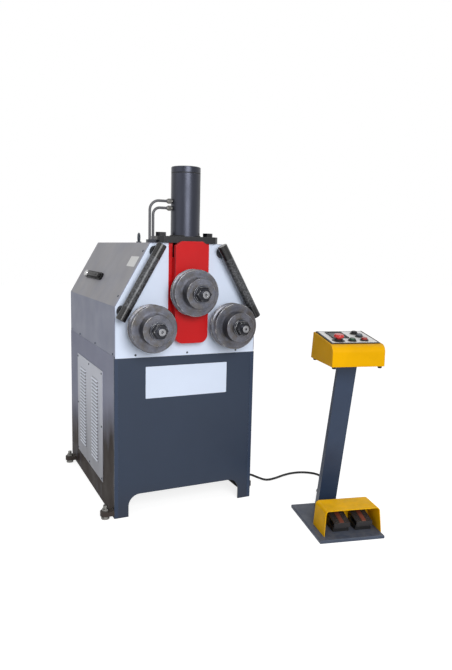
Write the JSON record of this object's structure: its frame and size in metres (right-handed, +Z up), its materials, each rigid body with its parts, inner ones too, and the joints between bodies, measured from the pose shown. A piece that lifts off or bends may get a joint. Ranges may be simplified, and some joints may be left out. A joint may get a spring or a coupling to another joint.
{
  "type": "profile bending machine",
  "caption": "Hydraulic three-roll profile and tube bending machine on a cabinet, with a separate pedal and console stand joined by a control cable.",
  "frame": {"origin": "on the floor, below the middle of the machine and its stand together, without the cable", "axes": "+Z up, -Y towards the operator, +X to the operator's right"},
  "size_m": [1.0489, 1.3212, 1.34],
  "materials": {
    "slate": "satin",
    "side_grey": "satin",
    "hood_grey": "satin",
    "vent_grey": "satin",
    "white": "gloss",
    "red": "gloss",
    "black_paint": "satin",
    "roll_steel": "turned",
    "bright_steel": "turned",
    "zinc": "zinc plated",
    "yellow": "satin",
    "plate_grey": "matt",
    "motor_grey": "painted",
    "black_plastic": "matt",
    "panel_white": "printed overlay",
    "red_plastic": "gloss",
    "green_plastic": "gloss",
    "cable_black": "matt"
  },
  "bodies": {
    "frame": {"base_front_panel": "slate", "side_panels": "side_grey", "rear_panel": "side_grey", "deck_plate": "slate", "bottom_shelf": "slate", "vent_covers": "vent_grey", "foot_lugs": "slate", "levelling_screws": "zinc", "head_front_plate": "white", "head_rear_plate": "white", "guide_bars": "red", "guide_rods": "bright_steel", "guide_rod_mounts": "bright_steel", "hood_cover": "hood_grey", "lock_base": "black_plastic", "lifting_eye": "zinc", "cylinder_flange": "black_paint", "cylinder_barrel": "black_paint", "flange_bolts": "black_paint", "pipe_fittings": "zinc", "pressure_pipes": "black_paint", "lower_bearings": "bright_steel", "gear_motor": "motor_grey", "hydraulic_tank": "slate", "pump_motor": "motor_grey", "stand_base": "plate_grey", "stand_post": "slate", "console_box": "yellow", "console_base": "black_paint", "console_panel": "panel_white", "pedal_guard": "yellow", "pedal_switches": "black_plastic", "control_cable": "cable_black", "cable_glands": "black_plastic"},
    "slide": {"slide_block": "red", "piston_rod": "bright_steel", "top_bearings": "bright_steel"},
    "top_spindle": {"top_shaft": "bright_steel", "top_roll": "roll_steel", "top_spacer": "roll_steel", "top_nut": "roll_steel"},
    "left_spindle": {"left_shaft": "bright_steel", "left_roll": "roll_steel", "left_spacer": "roll_steel", "left_nut": "roll_steel", "left_gear": "bright_steel"},
    "right_spindle": {"right_shaft": "bright_steel", "right_roll": "roll_steel", "right_spacer": "roll_steel", "right_nut": "roll_steel", "right_gear": "bright_steel"},
    "pinion": {"drive_pinion": "bright_steel"},
    "lock_lever": {"lock_lever": "black_plastic"},
    "emergency_stop": {"emergency_stop": "red_plastic"},
    "raise_button": {"raise_button": "black_plastic"},
    "lower_button": {"lower_button": "black_plastic"},
    "start_button": {"start_button": "green_plastic"},
    "stop_button": {"stop_button": "red_plastic"},
    "left_pedal": {"left_pedal": "black_paint"},
    "right_pedal": {"right_pedal": "black_paint"}
  },
  "joints": [
    {"name": "slide_travel", "type": "slide", "parent": "frame", "child": "slide", "axis": [0, 0, 1], "range_m": [-0.055, 0.05]},
    {"name": "top_spin", "type": "hinge", "parent": "slide", "child": "top_spindle", "pos_m": [-0.15033, -0.12937, 0.871], "axis": [0, 1, 0], "continuous": true},
    {"name": "left_spin", "type": "hinge", "parent": "frame", "child": "left_spindle", "pos_m": [-0.31533, -0.12937, 0.741], "axis": [0, 1, 0], "continuous": true},
    {"name": "right_spin", "type": "hinge", "parent": "frame", "child": "right_spindle", "pos_m": [0.01467, -0.12937, 0.741], "axis": [0, 1, 0], "continuous": true},
    {"name": "pinion_spin", "type": "hinge", "parent": "frame", "child": "pinion", "pos_m": [-0.15033, -0.12937, 0.741], "axis": [0, 1, 0], "continuous": true},
    {"name": "lock_turn", "type": "hinge", "parent": "frame", "child": "lock_lever", "pos_m": [-0.39065, 0.27063, 0.908], "axis": [-0.8696, 0, 0.4938], "range_deg": [0, 90]},
    {"name": "emergency_push", "type": "slide", "parent": "frame", "child": "emergency_stop", "axis": [-0.0282, -0.1274, 0.9915], "range_m": [-0.006, 0]},
    {"name": "raise_push", "type": "slide", "parent": "frame", "child": "raise_button", "axis": [-0.0282, -0.1274, 0.9915], "range_m": [-0.004, 0], "stiffness_N_per_m": 600, "springref_m": 0.001},
    {"name": "lower_push", "type": "slide", "parent": "frame", "child": "lower_button", "axis": [-0.0282, -0.1274, 0.9915], "range_m": [-0.004, 0], "stiffness_N_per_m": 600, "springref_m": 0.001},
    {"name": "start_push", "type": "slide", "parent": "frame", "child": "start_button", "axis": [-0.0282, -0.1274, 0.9915], "range_m": [-0.004, 0], "stiffness_N_per_m": 600, "springref_m": 0.001},
    {"name": "stop_push", "type": "slide", "parent": "frame", "child": "stop_button", "axis": [-0.0282, -0.1274, 0.9915], "range_m": [-0.004, 0], "stiffness_N_per_m": 600, "springref_m": 0.001},
    {"name": "left_pedal_press", "type": "hinge", "parent": "frame", "child": "left_pedal", "pos_m": [0.3038, -0.51947, 0.042], "axis": [0.9763, -0.2164, 0], "range_deg": [0, 8], "stiffness_Nm_per_rad": 4, "springref_deg": -6.88},
    {"name": "right_pedal_press", "type": "hinge", "parent": "frame", "child": "right_pedal", "pos_m": [0.38971, -0.53852, 0.042], "axis": [0.9763, -0.2164, 0], "range_deg": [0, 8], "stiffness_Nm_per_rad": 4, "springref_deg": -6.88}
  ],
  "couplings": [
    {"joint": "right_spin", "follows": "left_spin", "ratio": 1},
    {"joint": "pinion_spin", "follows": "left_spin", "ratio": -1.75}
  ]
}
